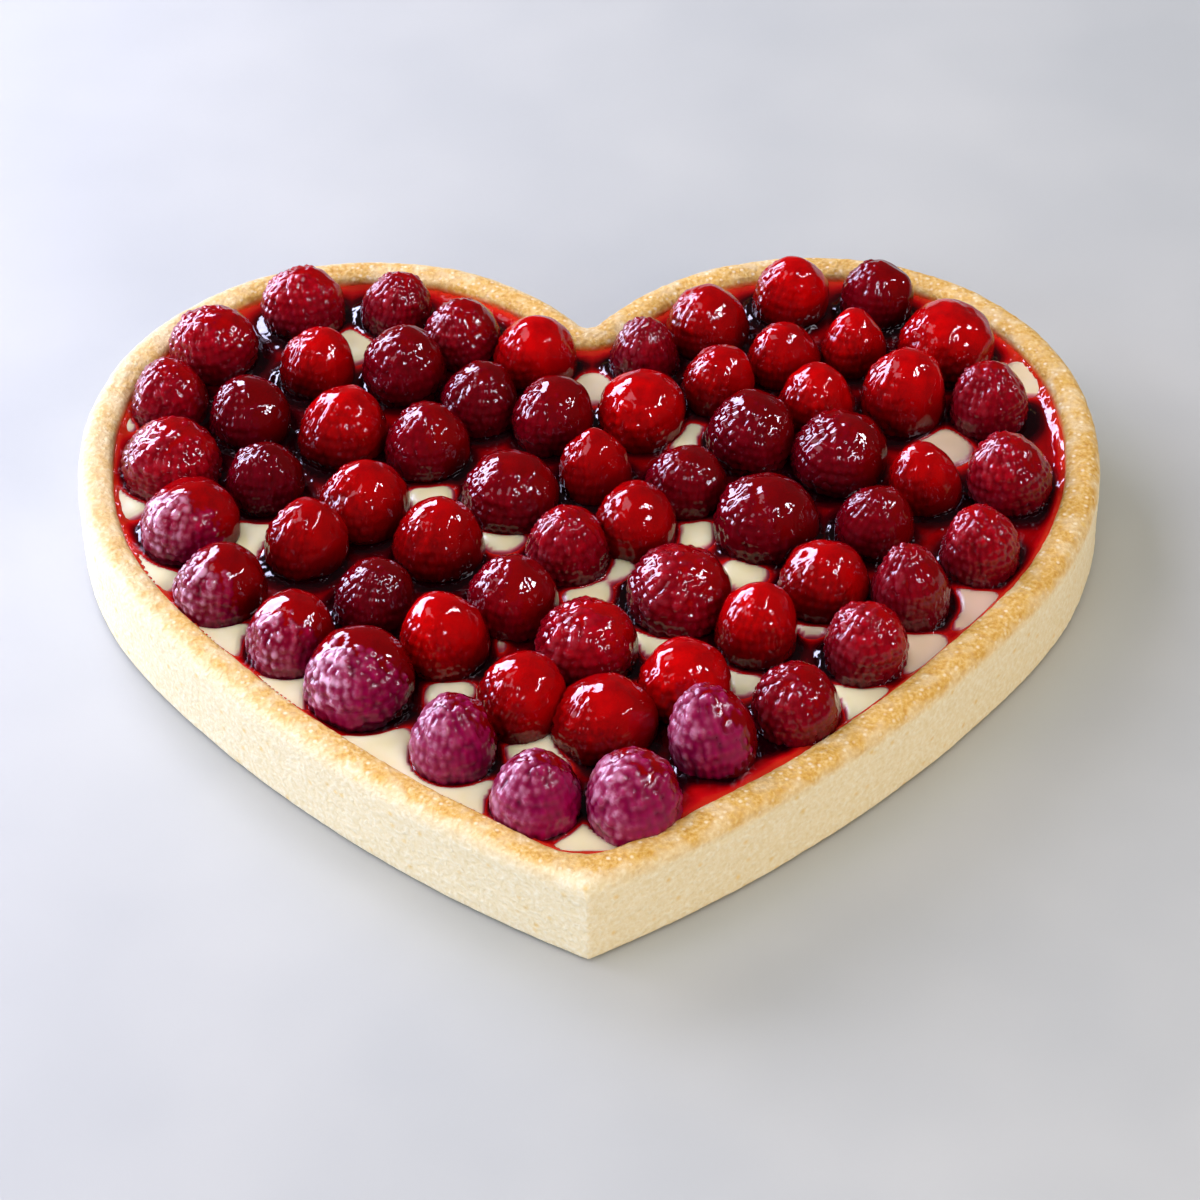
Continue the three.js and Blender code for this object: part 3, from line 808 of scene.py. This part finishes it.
def make_bumpy_berry(index, drupelet):
    """A berry of rows of drupelets on a core, open end down, its foot at the origin."""
    draw = random.Random(100 + index)
    bpy.ops.object.select_all(action="DESELECT")
    bpy.ops.mesh.primitive_uv_sphere_add(segments=24, ring_count=14, radius=1)
    core = bpy.context.object
    core.name = f"berry_shape_{index}"
    reach = BERRY_RADIUS - CREASE_DEPTH
    core.scale = (reach * MM, reach * MM, BERRY_HEIGHT * (1 - WAIST) * MM - CREASE_DEPTH * MM)
    core.location.z = BERRY_HEIGHT * WAIST * MM
    placed(core)
    pieces = [core]
    for row, (radius, height, slope) in enumerate(row_places()):
        count = max(1, round(math.tau * radius / DRUPELET_WIDTH))
        start = draw.random() * math.tau if radius < CROWN_RADIUS else (row % 2) * math.pi / count
        for i in range(count):
            size = draw.uniform(*DRUPELET_SIZES)
            angle = start + math.tau * (i + draw.uniform(-DRUPELET_TURN, DRUPELET_TURN)) / count
            outward = Vector((math.cos(angle) * math.cos(slope), math.sin(angle) * math.cos(slope),
                              math.sin(slope)))
            along = Vector((-math.sin(angle), math.cos(angle), 0))
            upward = outward.cross(along)
            place = Vector((radius * math.cos(angle), radius * math.sin(angle), height))
            place -= outward * DRUPELET_DEPTH * draw.uniform(*DRUPELET_SINK)
            place.z += draw.uniform(-DRUPELET_RISE, DRUPELET_RISE)
            turn = Matrix((along, upward, outward)).transposed().to_4x4()
            scale = Matrix.Diagonal((DRUPELET_WIDTH * DRUPELET_OVERLAP[0] * size,
                                     DRUPELET_LENGTH * DRUPELET_OVERLAP[1] * size, 2 * DRUPELET_DEPTH, 1))
            piece = copied(drupelet.data, "drupelet_copy")
            piece.matrix_world = Matrix.Scale(MM, 4) @ Matrix.Translation(place) @ turn @ scale
            pieces.append(piece)
    return join(pieces)


def make_coat():
    """The smooth form of the glaze over a berry, about its own middle."""
    bpy.ops.object.select_all(action="DESELECT")
    bpy.ops.mesh.primitive_uv_sphere_add(segments=48, ring_count=28, radius=1)
    coat = bpy.context.object
    coat.name = "coat_shape"
    coat.scale = (BERRY_RADIUS * MM, BERRY_RADIUS * MM, BERRY_HEIGHT * (1 - WAIST) * MM)
    placed(coat)
    return coat


def glaze_kind(name):
    for kind, names in (("bare", BARE_BERRIES), ("frosted", FROSTED_BERRIES), ("half", HALF_GLAZED_BERRIES),
                        ("bumpy", BUMPY_BERRIES), ("dark", DARK_BERRIES)):
        if name in names:
            return kind
    return "bright"


def reach_of(places, radius, height, middle):
    """How far out each place lies, as a share of an upright egg of this size about the middle."""
    dx, dy, dz = (places - middle).T
    flat = np.hypot(dx, dy) / radius
    return np.where(dz > 0, np.hypot(flat, dz / height), flat)


def make_berry(berry, shapes, coat_shape):
    """A berry of its kind: drupelets, the glaze over them, and the marks that its skin needs."""
    draw = random.Random(berry["name"])
    kind = GLAZE_KINDS[glaze_kind(berry["name"])]
    piece = copied(draw.choice(shapes).data, "rasp" + berry["name"])
    piece.rotation_euler.z = draw.uniform(0, math.tau)
    placed(piece)
    heading = COAT_HEADING + draw.uniform(-COAT_HEADING_SPREAD, COAT_HEADING_SPREAD)
    grow = 1 + (kind["fill"] - 1) * CREASE_DEPTH / BERRY_RADIUS
    waist = BERRY_HEIGHT * WAIST
    middle = np.array([
        kind["shift"] * math.cos(heading), kind["shift"] * math.sin(heading), waist + COAT_RAISE,
    ])
    coat = copied(coat_shape.data, "coat_copy")
    coat.location = Vector(middle) * MM
    coat.scale = (grow, grow, grow)
    piece = join([piece, coat])
    modify(piece, "REMESH", mode="VOXEL", voxel_size=kind["voxel"] * MM)
    modify(piece, "SMOOTH", factor=0.5, iterations=kind["smooth"])
    places = corners(piece)
    dome = BERRY_HEIGHT * (1 - WAIST)
    out = reach_of(places, BERRY_RADIUS, dome, (0, 0, waist))
    rise = np.clip(1 + (out - 1) * BERRY_RADIUS / CREASE_DEPTH, 0, 1)
    proud = (reach_of(places, BERRY_RADIUS * grow, dome * grow, middle) - 1) * BERRY_RADIUS
    covered = ease(proud, *COVERED_BETWEEN)
    # Painted shade: the berry is painted darkest at its foot and in its creases, where light reaches least;
    # its tone is a random draw times this shade
    height = places[:, 2] / BERRY_HEIGHT
    light = (0.1 + 0.9 * ease(height, 0.15, 0.9)) * (0.35 + 0.65 * np.maximum(covered, rise))
    wet = np.maximum(covered, kind["wet"])
    outward = (places - (0, 0, waist)) / BERRY_RADIUS
    # A painted sheen: the bloom is kept to the side that faces the light from the far left
    lit = ease(outward @ np.array(PAINTED_SHEEN_SIDE), 0.1, 0.95)
    keep_value(piece, "rise", rise)
    keep_value(piece, "wet", wet)
    keep_value(piece, "matt", 0.03 + 0.27 * (1 - wet) + 0.1 * ease(height, 0.6, 0.25))
    keep_value(piece, "tone", draw.uniform(*kind["tones"]) * light)
    keep_value(piece, "bloom", kind["bloom"] * (1 - covered) * ease(rise, 0.45, 1.0) * lit)
    modify(piece, "SIMPLE_DEFORM", deform_method="TAPER", deform_axis="Z", factor=draw.uniform(*BERRY_TAPER))
    piece.scale = BERRY_PLUMPNESS * berry["size"] / (2 * BERRY_RADIUS, 2 * BERRY_RADIUS, BERRY_HEIGHT)
    piece.rotation_euler = (draw.uniform(-1, 1) * BERRY_TILT, draw.uniform(-1, 1) * BERRY_TILT, 0)
    piece.location = Vector((berry["x"], berry["y"], berry["foot"])) * MM
    placed(piece)
    modify(piece, "DISPLACE", texture=bpy.data.textures["berry_swell"], texture_coords="LOCAL",
           strength=BERRY_SWELL * MM, mid_level=0.5)
    return piece


def make_berries(material):
    clouds("berry_swell", BERRY_SWELL_SIZE)
    drupelet = make_drupelet()
    shapes = [make_bumpy_berry(index, drupelet) for index in range(BERRY_SHAPES)]
    coat_shape = make_coat()
    made = {}
    for berry in BERRIES:
        made.setdefault(berry["node"], []).append(make_berry(berry, shapes, coat_shape))
    for node, pieces in made.items():
        piece = join(pieces) if len(pieces) > 1 else pieces[0]
        piece.name = "rasp" + node
        finish(piece, material)
        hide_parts(node)
    for helper in (*shapes, drupelet, coat_shape):
        removed(helper)


# Floor, light and camera

def make_floor():
    bpy.ops.object.select_all(action="DESELECT")
    bpy.ops.mesh.primitive_plane_add(size=4)
    floor = bpy.context.object
    floor.name = "floor"
    floor.data.materials.append(tabletop())


def add_light(name, size, radiance, tint, place, along=None, mirrored=True, lights_up=True):
    """A soft box that faces the tart, its long side along a direction. One that isn't mirrored
    leaves no highlight, and one that doesn't light up leaves nothing else. Its brightness is that
    of its face, so that size and place keep it."""
    light = bpy.data.lights.new(name, "AREA")
    light.shape = "RECTANGLE"
    light.size, light.size_y = size
    light.energy = radiance * math.pi * size[0] * size[1]
    light.color = colour(tint)[:3]
    lamp = bpy.data.objects.new(name, light)
    bpy.context.scene.collection.objects.link(lamp)
    lamp.location = place
    behind = Vector(place).normalized()
    across = (Vector(along) if along else Vector((0, 0, 1)).cross(behind)).normalized()
    across = (across - behind * across.dot(behind)).normalized()
    lamp.rotation_mode = "QUATERNION"
    lamp.rotation_quaternion = Matrix((across, behind.cross(across), behind)).transposed().to_quaternion()
    lamp.visible_glossy = mirrored
    lamp.visible_diffuse = lights_up


def make_lights():
    window = dict(place=(-0.72, 0.55, 0.33), along=(0.43, 0.39, 0.40))
    add_light("window_gleam", (1.2, 0.42), 28, "#D6D8FF", lights_up=False, **window)
    add_light("window", (1.2, 0.6), 8.5, "#F3F2FF", mirrored=False, **window)
    add_light("bright_wall", (0.45, 0.35), 3.4, "#F8E3F4", (-0.6, 0.0, 0.8))
    add_light("left_room", (1.2, 0.9), 3.9, "#F2F6FF", (-1.1, -0.75, 0.55), mirrored=False)
    add_light("right_room", (1.2, 0.9), 4.4, "#FFEACC", (0.95, -1.0, 0.7), mirrored=False)
    add_light("ceiling", (1.0, 1.0), 2.1, "#FFFAF0", (0.1, 0.1, 1.3), mirrored=False)
    for place in ((0.63, -0.18, 0.75), (0.66, 0.0, 0.74), (0.78, 0.14, 0.6), (0.5, -0.36, 0.8)):
        add_light("ceiling_lamp", (0.12, 0.09), 60, "#F4F2FF", place, lights_up=False)
    world = bpy.data.worlds.new("soft_room")
    bpy.context.scene.world = world
    world.use_nodes = True
    background = world.node_tree.nodes["Background"]
    background.inputs["Color"].default_value = colour("#C9CED2")
    background.inputs["Strength"].default_value = 0.1


def make_camera():
    data = bpy.data.cameras.new("camera")
    data.lens = CAMERA_LENS
    data.sensor_width = SENSOR_WIDTH
    data.clip_start = 0.01
    data.clip_end = 20
    camera = bpy.data.objects.new("camera", data)
    bpy.context.scene.collection.objects.link(camera)
    camera.location = CAMERA_PLACE
    camera.rotation_mode = "QUATERNION"
    aim = (CAMERA_AIM - CAMERA_PLACE).to_track_quat("-Z", "Y")
    camera.rotation_quaternion = aim @ Quaternion((0, 0, 1), CAMERA_ROLL)
    bpy.context.scene.camera = camera


make_camera()
make_floor()
make_lights()
bpy.context.scene.view_settings.view_transform = "Standard"

heart, inner_outline = heart_prism()
make_crust(baked_shortcrust(), inner_outline)
clear = clearance_field()
wall = outline_distance(inner_outline, PLACES.reshape(-1, 2)).reshape(clear.shape)
swell, pink = mound_fields()
cream_height = cream_field(clear, swell)
glaze_height = glaze_field(clear, wall)
far_from_wall = np.full(wall.shape, 1e3)
cream = make_cream(pastry_cream(), cream_height, glaze_field(clear, far_from_wall), pink, heart)
make_glaze(berry_glaze(), cream_height, glaze_height, shade_field(clear, wall), heart, cream)
removed(heart)
make_berries(raspberry())
